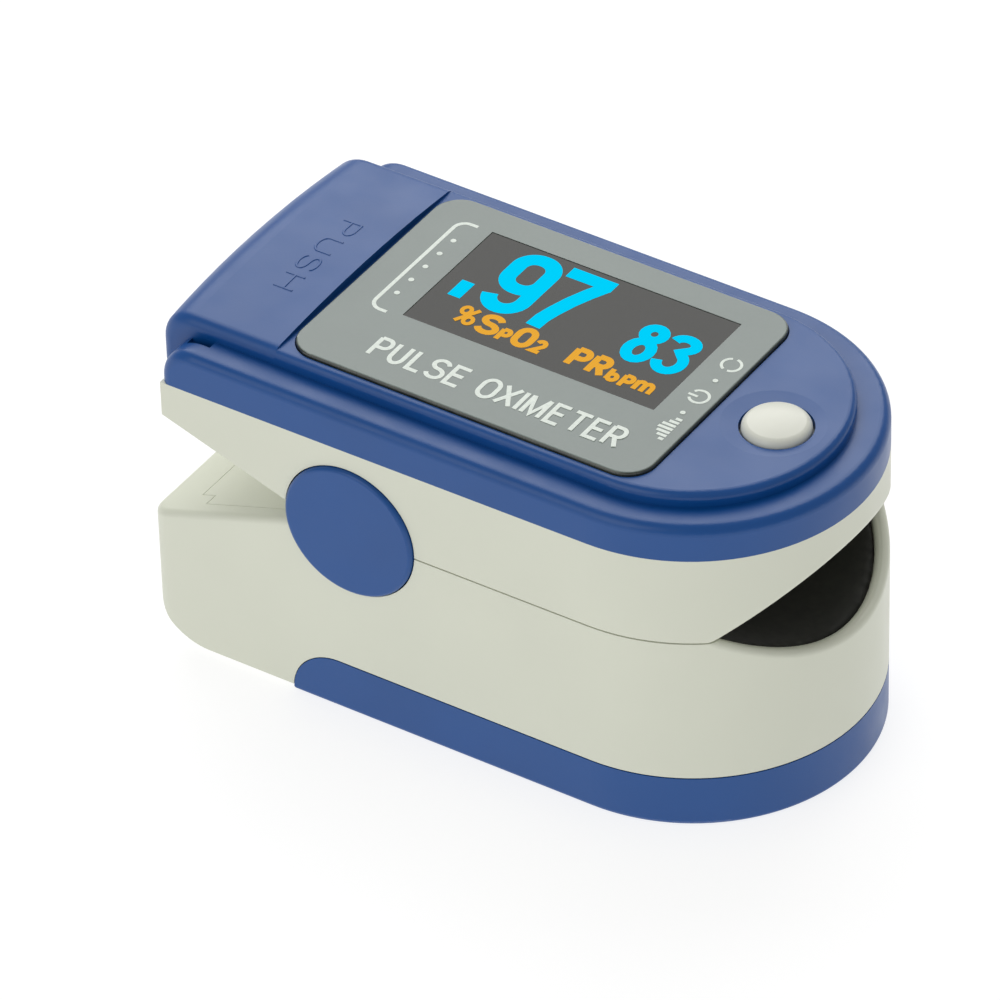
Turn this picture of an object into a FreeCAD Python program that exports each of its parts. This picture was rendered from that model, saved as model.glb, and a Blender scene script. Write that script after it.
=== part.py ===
import FreeCAD, Part
import math
import os
import re

import Sketcher

# Fingertip pulse oximeter. Two half shells meet at a sprung hinge: the nose takes a finger, the
# rear is squeezed to open it. +X points to the nose, +Z up, and the origin is the centre of the
# footprint on the surface that the device rests on. Millimetres throughout.

DIMS = {
    # plan of both halves: straight sides and a half-round nose
    "half_width": 15.5,
    "nose_centre": 13.3,
    "block_rear": -28.8,
    "rail_rear": -26.6,
    "lower_rear": -28.4,
    "wall": 1.5,
    "seam_gap": 0.12,
    # heights
    "rear_floor": 0.6,
    "band_top": 4.73,
    "parting_low": 18.24,
    "parting_high": 18.38,
    "cover_seam": 26.4,
    "ledge_top": 29.8,
    "deck_top": 31.08,
    "block_top": 32.0,
    "top_fall": 0.01,
    "roof_thick": 1.25,
    "step_along": -17.26,
    "rail_round": 3.0,
    "heel_round": 3.5,
    "shoulder_round": 1.0,
    "crown_radius": 130.0,
    # squeeze gap at the rear: both faces slope away from the apex
    "apex": -12.2,
    "squeeze_slope": 0.3346,
    # hinge
    "hinge_along": -8.9,
    "hinge_height": 18.6,
    "axle_radius": 1.0,
    "axle_half": 14.9,
    "running_gap": 0.05,
    "ear_radius": 3.0,
    "cap_radius": 6.0,
    "cap_inside": 13.95,
    "cap_outside": 15.85,
    "cap_gap": 0.1,
    "ear_low_in": 10.9,
    "ear_low_out": 12.65,
    "ear_high_in": 8.6,
    "ear_high_out": 10.6,
    # finger channel: circular arcs seen along X
    "dip_radius": 19.2,
    "dip_centre": 33.6,
    "arch_radius": 15.85,
    "arch_centre": 7.6,
    "pad_thick": 1.1,
    "pad_rear": -3.95,
    "lip": 1.25,
    "window_along": 11.0,
    "window_half": 2.9,
    # inner tray of the lower half
    "tray_half": 14.0,
    "tray_nose": 14.2,
    "tray_rear": -25.0,
    "tray_bottom": 12.6,
    "key_step": 1.25,
    # battery bay
    "bay_half": 13.5,
    "bay_rear": -25.45,
    "bay_floor": 1.6,
    "cell_radius": 5.25,
    "cell_length": 43.7,
    "cell_nub": 0.8,
    "cell_across": 5.6,
    "cell_height": 7.0,
    "plate_thick": 0.3,
    # top cover
    "deck_half": 12.85,
    "lens_rear": -16.96,
    "lens_front": 15.87,
    "lens_half": 12.0,
    "lens_corner": 2.5,
    "lens_seat": 30.15,
    "lens_top": 31.41,
    # button
    "button_along": 21.0,
    "button_radius": 2.8,
    "button_hole": 3.0,
    "button_top": 31.65,
    "button_travel": 0.3,
    # electronics
    "board_bottom": 25.55,
    "board_thick": 0.8,
    "panel_bottom": 28.35,
    "panel_top": 29.65,
}

doc = FreeCAD.newDocument("pulse_oximeter")
sheet = doc.addObject("Spreadsheet::Sheet", "Dims")
for row, (alias, size) in enumerate(DIMS.items(), start=1):
    sheet.set(f"A{row}", alias)
    sheet.set(f"B{row}", str(size))
    sheet.setAlias(f"B{row}", alias)
doc.recompute()

# each screw of the top cover: X, Y and the height of the seat under its head
SCREW_SPOTS = [(x, y, seat) for x, seat in (("-21", "23.6"), ("8", "22.4")) for y in ("-13.25", "13.25")]

NODES = []


def formula(text):
    """Spell a size out of the sheet's aliases as an expression of this document."""
    return re.sub(r"[a-z_]+", lambda word: f"Dims.{word[0]}" if word[0] in DIMS else word[0], str(text))


def value(text):
    """The number that a formula gives now."""
    return float(sheet.evalExpression(formula(text)))


def new_body(label):
    body = doc.addObject("PartDesign::Body", label)
    body.Label = label
    return body


def node(part):
    """Keep a finished sub-part: it is checked and written at the end."""
    NODES.append(part)
    return part


def draw(body, plane, loops, height="0"):
    """Sketch closed loops on one of the body's own origin planes, moved along its normal.

    A loop is ("circle", u, v, radius), or a list of corners. A corner is (u, v) where a straight
    side leaves it, or (u, v, centre_u, centre_v, turn) where an arc leaves it, +1 anticlockwise.
    """
    sketch = body.newObject("Sketcher::SketchObject", f"{body.Label}_outline")
    role = {"plan": "XY_Plane", "side": "XZ_Plane", "front": "YZ_Plane"}[plane]
    own_plane = next(item for item in body.Origin.OriginFeatures if item.Role == role)
    sketch.AttachmentSupport = [(own_plane, "")]
    sketch.MapMode = "FlatFace"
    sketch.setExpression("AttachmentOffset.Base.z", formula(height))
    for loop in loops:
        if loop[0] == "circle":
            add_circle(sketch, *loop[1:])
        else:
            add_corners(sketch, loop)
    return sketch


def bind(sketch, kind, where, text):
    """Add a constraint at a place of the sketch and bind its size to the sheet."""
    index = sketch.addConstraint(Sketcher.Constraint(kind, *where, value(text)))
    sketch.setExpression(f"Constraints[{index}]", formula(text))


def add_circle(sketch, u, v, radius):
    centre = FreeCAD.Vector(value(u), value(v), 0)
    index = sketch.addGeometry(Part.Circle(centre, FreeCAD.Vector(0, 0, 1), value(radius)))
    bind(sketch, "DistanceX", (-1, 1, index, 3), u)
    bind(sketch, "DistanceY", (-1, 1, index, 3), v)
    bind(sketch, "Radius", (index,), radius)


def add_corners(sketch, corners):
    spots = [FreeCAD.Vector(value(corner[0]), value(corner[1]), 0) for corner in corners]
    first = sketch.GeometryCount
    starts = []
    for place, corner in enumerate(corners):
        start = spots[place]
        end = spots[(place + 1) % len(corners)]
        if len(corner) == 2:
            sketch.addGeometry(Part.LineSegment(start, end))
            starts.append(1)
        else:
            centre = FreeCAD.Vector(value(corner[2]), value(corner[3]), 0)
            turn = corner[4]
            low, high = (start, end) if turn > 0 else (end, start)
            circle = Part.Circle(centre, FreeCAD.Vector(0, 0, 1), (start - centre).Length)
            angles = [math.atan2(spot.y - centre.y, spot.x - centre.x) for spot in (low, high)]
            if angles[1] <= angles[0]:
                angles[1] += 2 * math.pi
            sketch.addGeometry(Part.ArcOfCircle(circle, *angles))
            starts.append(1 if turn > 0 else 2)
    for place, corner in enumerate(corners):
        after = (place + 1) % len(corners)
        ends = (first + place, 3 - starts[place], first + after, starts[after])
        sketch.addConstraint(Sketcher.Constraint("Coincident", *ends))
        bind(sketch, "DistanceX", (-1, 1, first + place, starts[place]), corner[0])
        bind(sketch, "DistanceY", (-1, 1, first + place, starts[place]), corner[1])
        if len(corner) == 5:
            chord = spots[after] - spots[place]
            upright = abs(chord.y) > abs(chord.x)
            kind, text = ("DistanceX", corner[2]) if upright else ("DistanceY", corner[3])
            bind(sketch, kind, (-1, 1, first + place, 3), text)


def grow(body, kind, sketch, length, symmetric=False, reverse=False):
    """Pad or pocket a sketch. A pad runs along the plane's normal and a pocket against it."""
    feature = body.newObject(f"PartDesign::{kind}", f"{body.Label}_{kind.lower()}")
    feature.Profile = sketch
    feature.SideType = "Symmetric" if symmetric else "One side"
    feature.Reversed = reverse
    feature.setExpression("Length", formula(length))
    doc.recompute()
    return feature


def pad(body, plane, loops, height="0", length="1", **options):
    return grow(body, "Pad", draw(body, plane, loops, height), length, **options)


def cut(body, plane, loops, height="0", length="1", **options):
    before = body.Shape.Volume
    feature = grow(body, "Pocket", draw(body, plane, loops, height), length, **options)
    if body.Shape.Volume >= before - 1e-6:
        raise ValueError(f"a pocket of {body.Label} removes nothing")
    return feature


def cut_side(body, corners):
    """Pocket a side-view outline right through the width."""
    return cut(body, "side", [corners], "0", "4*half_width", symmetric=True)


def box(body, kind, x_range, y_range, z_range):
    """Pad or pocket a box given as three pairs of formulas."""
    corners = rectangle(x_range, y_range)
    make = pad if kind == "pad" else cut
    rise = f"({z_range[1]})-({z_range[0]})"
    return make(body, "plan", [corners], z_range[0], rise, reverse=(kind != "pad"))


def combine(body, kind, tool):
    """Cut another solid of this document from a body, fuse it on, or keep only what is common."""
    before = body.Shape.Volume
    feature = body.newObject("PartDesign::Boolean", f"{body.Label}_boolean")
    feature.Type = kind
    feature.setObjects([tool])
    doc.recompute()
    after = body.Shape.Volume
    if not (after > before + 1e-6 if kind == "Fuse" else 0.01 < after < before - 1e-6):
        raise ValueError(f"{tool.Label} leaves {body.Label} as it was, or empty")
    return feature


def fillet(body, radius, pick):
    """Round the edges of the body's last feature for which pick(edge) is true."""
    base = body.Tip
    names = [f"Edge{place + 1}" for place, edge in enumerate(base.Shape.Edges) if pick(edge)]
    if not names:
        raise ValueError(f"no edge to round on {body.Label}")
    feature = body.newObject("PartDesign::Fillet", f"{body.Label}_fillet")
    feature.Base = (base, names)
    feature.Radius = value(radius)
    feature.setExpression("Radius", formula(radius))
    doc.recompute()
    return feature


# ---------------------------------------------------------------- outlines

def rectangle(u_range, v_range):
    (low_u, high_u), (low_v, high_v) = u_range, v_range
    return [(low_u, low_v), (high_u, low_v), (high_u, high_v), (low_u, high_v)]


def shell_plan(rear, inset="0"):
    """Straight sides and a half-round nose, moved inward by inset."""
    side = f"half_width-({inset})"
    return [
        (rear, f"-({side})"),
        ("nose_centre", f"-({side})", "nose_centre", "0", 1),
        ("nose_centre", side),
        (rear, side),
    ]


def chopped_plan(rear, side, radius):
    """Straight sides that run into a nose arc wider than they are."""
    meet = f"nose_centre+sqrt(({radius})^2-({side})^2)"
    return [
        (rear, f"-({side})"),
        (meet, f"-({side})", "nose_centre", "0", 1),
        (meet, side),
        (rear, side),
    ]


def keyed_plan(clear):
    """The inner tray's outline: each rear corner has a square step that keys it to the case."""
    side = f"tray_half+{clear}"
    step_side = f"tray_half-key_step+{clear}"
    rear = f"tray_rear-{clear}"
    step_rear = f"tray_rear+key_step-{clear}"
    nose = f"tray_nose+{clear}"
    meet = f"nose_centre+sqrt(({nose})^2-({side})^2)"
    return [
        (rear, f"-({step_side})"),
        (step_rear, f"-({step_side})"),
        (step_rear, f"-({side})"),
        (meet, f"-({side})", "nose_centre", "0", 1),
        (meet, side),
        (step_rear, side),
        (step_rear, step_side),
        (rear, step_side),
    ]


def nose_trim(body, radius):
    """Cut away everything forward that lies outside a nose arc."""
    ring = rectangle(("nose_centre", "nose_centre+2*half_width"), ("-2*half_width", "2*half_width"))
    ring += [("nose_centre", radius, "nose_centre", "0", -1), ("nose_centre", f"-({radius})")]
    return cut(body, "plan", [ring], "0", "2*block_top", reverse=True)


def is_lip_edge(edge, low, high):
    """True for the curved edge of a finger opening in the nose wall, between two heights."""
    bounds = edge.BoundBox
    is_within = bounds.ZMin > value(low) - 0.01 and bounds.ZMax < value(high) + 0.01
    return is_within and bounds.XMin > value("nose_centre") + 5 and edge.Length > 10 and bounds.ZLength > 2


SLOPE_END = "block_rear-4"
LOW_END = f"parting_low-squeeze_slope*(apex-({SLOPE_END}))"
HIGH_END = f"parting_high+squeeze_slope*(apex-({SLOPE_END}))"


def cut_low_slope(body):
    """The lower squeeze face, falling towards the rear."""
    return cut_side(body, [
        ("apex", "parting_low"),
        ("apex", "block_top"),
        (SLOPE_END, "block_top"),
        (SLOPE_END, LOW_END),
    ])


def is_slope_rim(edge):
    """True for the outer edge of the lower squeeze face, along both sides and across the rear."""
    bounds = edge.BoundBox
    if bounds.ZMin < value("tray_bottom") or bounds.XMax > value("apex") + 0.01:
        return False
    is_rear = bounds.XMax < value("lower_rear") + 0.01 and bounds.ZLength < 0.01
    return is_rear or bounds.YLength < value("2*half_width-1")


def hinge_circle(radius):
    return ("circle", "hinge_along", "hinge_height", radius)


def cut_cap_recess(body):
    """Round pockets in both sides for the hinge caps."""
    for height in ("-half_width-1", "cap_inside-0.1"):
        cut(body, "side", [hinge_circle("cap_radius+cap_gap")], height, "half_width+1-cap_inside+0.1",
            reverse=True)


def side_pad(body, loops, inner, outer):
    """Pad the same side-view outline on both sides, between two distances from the middle."""
    for height in (f"-({outer})", inner):
        pad(body, "side", loops, height, f"({outer})-({inner})")


# ---------------------------------------------------------------- finger pads

def channel_pad(label, upper, clear):
    """The lining of the finger channel as a solid band; clear enlarges its back into a seat."""
    body = new_body(label)
    rim = f"{12.2 if upper else 11.95}+{clear}"
    if upper:
        face, back = "(arch_radius+0.1)", f"(arch_radius+pad_thick+{clear})"
        middle, edge, turn = "arch_centre", f"parting_high+0.15-{clear}", -1
        sign = "+"
    else:
        face, back = "(dip_radius+0.1)", f"(dip_radius+0.1+pad_thick+{clear})"
        middle, edge, turn = "dip_centre", f"parting_low-0.2+{clear}", 1
        sign = "-"
    face_half = f"sqrt({face}^2-({edge}-({middle}))^2)"
    back_edge = f"{middle}{sign}sqrt({back}^2-({rim})^2)"
    section = [
        (f"-({rim})", edge),
        (f"-({rim})", back_edge, "0", middle, turn),
        (rim, back_edge),
        (rim, edge),
        (face_half, edge, "0", middle, -turn),
        (f"-{face_half}", edge),
    ]
    rear = f"pad_rear-{clear}"
    pad(body, "front", [section], rear, f"nose_centre+half_width-({rear})")
    nose_trim(body, f"half_width-lip-0.05+{clear}")
    return body


def finger_pad(label, upper):
    """The lining itself, with a square hole for the optical window."""
    body = channel_pad(label, upper, "0")
    x_range = ("window_along-window_half", "window_along+window_half")
    cut(body, "plan", [rectangle(x_range, ("-window_half", "window_half"))], "0", "block_top", reverse=True)
    return node(body)


def channel_window(label, low, high):
    """The clear window that fills the hole of a finger pad."""
    body = new_body(label)
    half = "(window_half-0.05)"
    x_range = (f"window_along-{half}", f"window_along+{half}")
    box(body, "pad", x_range, (f"-{half}", half), (low, high))
    fillet(body, "0.4", lambda edge: edge.BoundBox.ZLength > 0.5)
    return node(body)


# ---------------------------------------------------------------- lower half

def make_lower_case():
    body = new_body("lower_case")
    pad(body, "plan", [shell_plan("lower_rear")], "rear_floor", "parting_low-rear_floor")
    fillet(body, "1.6", lambda e: e.BoundBox.ZLength > 10 and e.BoundBox.XMax < value("lower_rear") + 1)
    cut_low_slope(body)
    fillet(body, "0.6", is_slope_rim)
    # belly: rounded up at the rear, and raised over the battery cover at the front
    heel = 5.2
    cut_side(body, [
        (f"lower_rear+{heel}", "rear_floor", f"lower_rear+{heel}", f"rear_floor+{heel}", -1),
        ("lower_rear", f"rear_floor+{heel}"),
        ("lower_rear-1", f"rear_floor+{heel}"),
        ("lower_rear-1", "rear_floor-1"),
        (f"lower_rear+{heel}", "rear_floor-1"),
    ])
    knee = "band_top+seam_gap-0.3"
    knee_along = "-10.45"
    cut_side(body, [
        (f"{knee_along}-({knee})", "-1"),
        ("nose_centre+half_width+1", "-1"),
        ("nose_centre+half_width+1", "band_top+seam_gap"),
        (knee_along, "band_top+seam_gap", knee_along, "0.3", 1),
        (f"{knee_along}-({knee})", "0.3"),
    ])
    # skirt that laps inside the battery cover
    pad(body, "plan", [shell_plan("-11.5", "1.55")], "3.5", "band_top+1-3.5")
    cut(body, "plan", [shell_plan("bay_rear", "half_width-bay_half")], "bay_floor",
        "tray_bottom-bay_floor", reverse=True)
    cut(body, "plan", [keyed_plan("0.05")], "tray_bottom-0.5", "parting_low", reverse=True)
    cut(body, "front", [("circle", "0", "dip_centre", "dip_radius")], "nose_centre",
        "half_width+1", reverse=True)
    fillet(body, "0.5", lambda e: is_lip_edge(e, "tray_bottom", "parting_low"))
    cut_cap_recess(body)
    return node(body)


def make_lower_tray():
    body = new_body("lower_tray")
    pad(body, "plan", [keyed_plan("0")], "tray_bottom", "parting_low-tray_bottom")
    cut_low_slope(body)
    # open pit for the springs and the upper ears
    box(body, "cut", ("apex-3", "-4.75"), ("-(ear_low_in-0.1)", "ear_low_in-0.1"),
        ("tray_bottom+1.5", "parting_low+1"))
    # ears that carry the axle, and their bore
    side_pad(body, [hinge_circle("ear_radius")], "ear_low_in", "ear_low_out")
    cut_cap_recess(body)
    cut(body, "side", [hinge_circle("axle_radius")], "0", "3*half_width", symmetric=True)
    # seat of the finger pad, hole for the photodiode, and slot for the flex tail
    combine(body, "Cut", channel_pad("lower_pad_seat", False, "0.05"))
    cut(body, "front", [("circle", "0", "dip_centre", "dip_radius+0.2")], "pad_rear-0.05",
        "3*half_width", reverse=True)
    box(body, "cut", ("window_along-2.1", "window_along+2.1"), ("-1.9", "1.9"),
        ("tray_bottom-1", "tray_bottom+3"))
    box(body, "cut", ("-14.1", "-13.1"), ("-2.3", "2.3"), ("tray_bottom-1", "tray_bottom+2.5"))
    # cradle ribs that hold the cells apart from the case walls
    for low, high in (("-12.4", "-11.2"), ("11.2", "12.4")):
        box(body, "pad", ("-20", "18"), (low, high), ("cell_height+1", "tray_bottom+0.3"))
    return node(body)


def make_battery_cover():
    body = new_body("battery_cover")
    pad(body, "plan", [shell_plan("-14.95")], "0", "band_top")
    knee_along = "-10.5"
    cut_side(body, [
        (f"{knee_along}-4.45", "0.28", knee_along, "0.28", -1),
        (knee_along, "band_top"),
        (f"{knee_along}-6", "band_top"),
        (f"{knee_along}-6", "0.28"),
    ])
    cut(body, "plan", [shell_plan("-18", "1.4")], "1.3", "band_top", reverse=True)
    # finger grip: shallow ribs across the underside
    ribs = [rectangle((f"{19 + 1.6 * place}", f"{19.8 + 1.6 * place}"), ("-5", "5")) for place in range(4)]
    cut(body, "plan", ribs, "0", "0.35", reverse=True)
    fillet(body, "0.45", lambda e: e.BoundBox.ZMax < 0.01 and (e.Length > 25 or e.BoundBox.XMax < -14))
    return node(body)


def make_cell(label, side, front_nub):
    """One AAA cell along X. The two lie head to tail."""
    body = new_body(label)
    across = f"{side}*cell_across"
    can_rear = "-22.55" if front_nub else "-24.25"
    pad(body, "front", [("circle", across, "cell_height", "cell_radius")], can_rear, "cell_length")
    fillet(body, "0.4", lambda edge: edge.Length > 20)
    nub_start = f"{can_rear}+cell_length-0.1" if front_nub else f"{can_rear}-cell_nub"
    pad(body, "front", [("circle", across, "cell_height", "1.9")], nub_start, "cell_nub+0.1")
    return node(body)


def plate(label, across):
    """A thin upright contact plate, from two distances across, in front of a start along X."""
    start, low, high = across
    blade = doc.addObject("Part::Box", label)
    sizes = {
        "Length": "plate_thick",
        "Width": f"{high}-({low})",
        "Height": "6.8",
        "Placement.Base.x": start,
        "Placement.Base.y": low,
        "Placement.Base.z": "cell_height-3.4",
    }
    for name, text in sizes.items():
        blade.setExpression(name, formula(text))
    return blade


def make_contact_plates():
    """Two separate plates behind the cells, and one bridge in front of them."""
    rear = "bay_rear+0.05"
    pair = [plate("rear_plate_low", (rear, "-9", "-2.2")), plate("rear_plate_high", (rear, "2.2", "9"))]
    group = doc.addObject("Part::Compound", "rear_contacts")
    group.Label = "rear_contacts"
    group.Links = pair
    node(group)
    bridge = plate("front_contact", ("22.05", "-9", "9"))
    bridge.Label = "front_contact"
    node(bridge)


def coil_wire(radius, pitch, turns, wire_radius):
    """A helical spring along +Z from the origin as one solid."""
    helix = Part.makeHelix(pitch, pitch * turns, radius)
    section = Part.Wire(Part.makeCircle(wire_radius, FreeCAD.Vector(radius, 0, 0), FreeCAD.Vector(0, 1, 0)))
    return Part.Wire(helix).makePipeShell([section], True, True)


def make_battery_springs():
    """A short compression coil at the negative end of each cell."""
    rear = FreeCAD.Vector(value("bay_rear+0.05+plate_thick+0.3"), value("-cell_across"), value("cell_height"))
    front = FreeCAD.Vector(value("22.05-0.3"), value("cell_across"), value("cell_height"))
    coils = []
    for spot, way in ((rear, 1), (front, -1)):
        coil = coil_wire(2.6, 0.65, 2.5, 0.25)
        coil.Placement = FreeCAD.Placement(spot, FreeCAD.Rotation(FreeCAD.Vector(0, 1, 0), 90 * way))
        coils.append(coil)
    feature = doc.addObject("Part::Feature", "battery_springs")
    feature.Shape = Part.makeCompound(coils)
    return node(feature)


def make_torsion_spring(label, side):
    """Coil round the axle, with one leg over the tray's pit floor and one under the upper half."""
    mean, wire_radius, turns, pitch, leg_length = 1.75, 0.3, 4.5, 0.72, 3.6
    coil = coil_wire(mean, pitch, turns, wire_radius)
    back = FreeCAD.Vector(0, -1, 0)
    first = Part.makeCylinder(wire_radius, leg_length, FreeCAD.Vector(mean, 0, 0), back)
    last = Part.makeCylinder(wire_radius, leg_length, FreeCAD.Vector(-mean, 0, pitch * turns), back)
    feature = doc.addObject("Part::Feature", label)
    feature.Shape = coil.fuse([first, last])
    # the coil's axis turns onto Y and its legs point to the rear
    start = side * 5.9 - pitch * turns / 2
    place = FreeCAD.Vector(value("hinge_along"), start, value("hinge_height"))
    onto_axle = FreeCAD.Matrix(0, 1, 0, place.x, 0, 0, 1, place.y, 1, 0, 0, place.z)
    feature.Placement = FreeCAD.Placement(onto_axle)
    return node(feature)


def make_axle():
    body = new_body("hinge_axle")
    pad(body, "side", [hinge_circle("axle_radius")], "0", "2*axle_half", symmetric=True)
    fillet(body, "0.2", lambda edge: edge.Length > 5)
    return node(body)


def make_hinge_cap(label, side):
    """Round cap over one end of the axle, slightly proud of the case side."""
    body = new_body(label)
    height = "cap_inside" if side < 0 else "-cap_outside"
    pad(body, "side", [hinge_circle("cap_radius")], height, "cap_outside-cap_inside")
    bore_height = "cap_inside" if side < 0 else "-axle_half"
    cut(body, "side", [hinge_circle("axle_radius")], bore_height, "axle_half-cap_inside", reverse=True)
    outer_y = side * value("cap_outside")
    fillet(body, "0.35", lambda edge: abs(edge.BoundBox.Center.y - outer_y) < 0.01)
    return node(body)


def make_detector():
    body = new_body("detector_board")
    box(body, "pad", ("window_along-5.5", "window_along+5.5"), ("-2.4", "2.4"),
        ("tray_bottom-0.85", "tray_bottom-0.05"))
    node(body)
    chip = new_body("photodiode")
    box(chip, "pad", ("window_along-2", "window_along+2"), ("-1.8", "1.8"),
        ("tray_bottom-0.05", "tray_bottom+0.75"))
    fillet(chip, "0.15", lambda edge: edge.BoundBox.ZMin > value("tray_bottom+0.7"))
    node(chip)
    channel_window("detector_window", "tray_bottom+0.8", "dip_centre-dip_radius-0.1")


def make_jaw_flex():
    """Flat ribbon from the detector board, past the axle, to the main board."""
    body = new_body("jaw_flex")
    low, high = "tray_bottom-0.3", "board_bottom-0.02"
    inner, outer = "-13.5", "-13.7"
    ribbon = [
        ("window_along-5.6", low),
        ("-12.7", low, "-12.7", f"{low}+0.8", -1),
        (inner, f"{low}+0.8"),
        (inner, high),
        (outer, high),
        (outer, f"{low}+0.8", "-12.7", f"{low}+0.8", 1),
        ("-12.7", f"{low}-0.2"),
        ("window_along-5.6", f"{low}-0.2"),
    ]
    pad(body, "side", [ribbon], "0", "3.6", symmetric=True)
    return node(body)


# ---------------------------------------------------------------- upper half

def block_corner():
    """Centre X of the squeeze block's rounded corners, and X and Y where they meet its bowed rear."""
    inner_radius, inner_half = "(crown_radius-shoulder_round)", "(deck_half-shoulder_round)"
    reach = f"sqrt({inner_radius}^2-{inner_half}^2)"
    meet_x = f"block_rear+crown_radius-crown_radius*{reach}/{inner_radius}"
    return f"block_rear+crown_radius-{reach}", meet_x, f"crown_radius*{inner_half}/{inner_radius}"


def block_plan():
    """Plan of the squeeze block behind the rails: bowed rear edge and rounded corners."""
    corner_x, meet_x, meet_y = block_corner()
    return [
        (corner_x, "-deck_half"),
        ("-20", "-deck_half"),
        ("-20", "deck_half"),
        (corner_x, "deck_half", corner_x, "deck_half-shoulder_round", 1),
        (meet_x, meet_y, "block_rear+crown_radius", "0", 1),
        (meet_x, f"-{meet_y}", corner_x, "-(deck_half-shoulder_round)", 1),
    ]


def cut_high_slope(body):
    """The upper squeeze face, rising towards the rear."""
    return cut_side(body, [
        ("apex", "parting_high"),
        (SLOPE_END, HIGH_END),
        (SLOPE_END, "0"),
        ("apex", "0"),
    ])


def make_upper_case():
    body = new_body("upper_case")
    pad(body, "plan", [shell_plan("rail_rear")], "parting_high", "cover_seam-parting_high")
    pad(body, "plan", [block_plan()], "parting_high", "cover_seam-parting_high")
    cut_high_slope(body)
    # room for the circuit board, and the deeper rear hollow above the squeeze face
    cut(body, "plan", [shell_plan("rail_rear+wall", "wall")], "cover_seam-0.95", "2", reverse=True)
    rear_wall = "rail_rear+wall"
    floor = "1.3"
    cut(body, "side", [[
        ("apex-2.6", f"parting_high+{floor}+squeeze_slope*2.6"),
        ("apex-2.6", "cover_seam"),
        (rear_wall, "cover_seam"),
        (rear_wall, f"parting_high+{floor}+squeeze_slope*(apex-({rear_wall}))"),
    ]], "0", "2*(half_width-wall)", symmetric=True)
    # finger arch, pad seat, hinge room
    cut(body, "front", [("circle", "0", "arch_centre", "arch_radius")], "pad_rear-0.05",
        "3*half_width", reverse=True)
    fillet(body, "0.5", lambda e: is_lip_edge(e, "parting_high", "cover_seam"))
    combine(body, "Cut", channel_pad("upper_pad_seat", True, "0.05"))
    cut(body, "side", [hinge_circle("ear_radius+1.1")], "0", "2*(ear_low_in-0.15)", symmetric=True)
    for height in ("-half_width-1", "ear_low_in-0.15"):
        cut(body, "side", [hinge_circle("cap_radius+cap_gap")], height,
            "half_width+1-(ear_low_in-0.15)", reverse=True)
    ear = [
        ("hinge_along-ear_radius", "hinge_height"),
        ("hinge_along-ear_radius", "hinge_height+ear_radius+1.6"),
        ("hinge_along+ear_radius", "hinge_height+ear_radius+1.6"),
        ("hinge_along+ear_radius", "hinge_height", "hinge_along", "hinge_height", -1),
    ]
    side_pad(body, [ear], "ear_high_in", "ear_high_out")
    cut(body, "side", [hinge_circle("axle_radius+running_gap")], "0", "3*half_width", symmetric=True)
    # open window for the emitter, slot for the flex tail
    box(body, "cut", ("window_along-2.2", "window_along+2.2"), ("-2", "2"), ("arch_centre", "cover_seam"))
    box(body, "cut", ("-14.6", "-13.0"), ("-2.3", "2.3"), ("parting_high", "cover_seam"))
    for x, y, seat in SCREW_SPOTS:
        cut(body, "plan", [("circle", x, y, "0.75")], "parting_high-1", "10", reverse=True)
        cut(body, "plan", [("circle", x, y, "1.55")], "parting_high-1", f"{seat}-(parting_high-1)",
            reverse=True)
    return node(body)


def make_upper_screws():
    """Four self-tapping screws that hold the top cover down on the upper case."""
    screws = []
    for place, (x, y, seat) in enumerate(SCREW_SPOTS):
        body = new_body(f"upper_screw_{place + 1}")
        pad(body, "plan", [("circle", x, y, "1.4")], f"{seat}-0.9", "0.9")
        pad(body, "plan", [("circle", x, y, "0.7")], seat, f"28-({seat})")
        for half_x, half_y in (("0.9", "0.15"), ("0.15", "0.9")):
            slot = rectangle((f"{x}-{half_x}", f"{x}+{half_x}"), (f"{y}-{half_y}", f"{y}+{half_y}"))
            cut(body, "plan", [slot], f"{seat}-0.9", "0.45", reverse=True)
        screws.append(body)
    group = doc.addObject("Part::Compound", "upper_screws")
    group.Label = "upper_screws"
    group.Links = screws
    return node(group)


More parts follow.
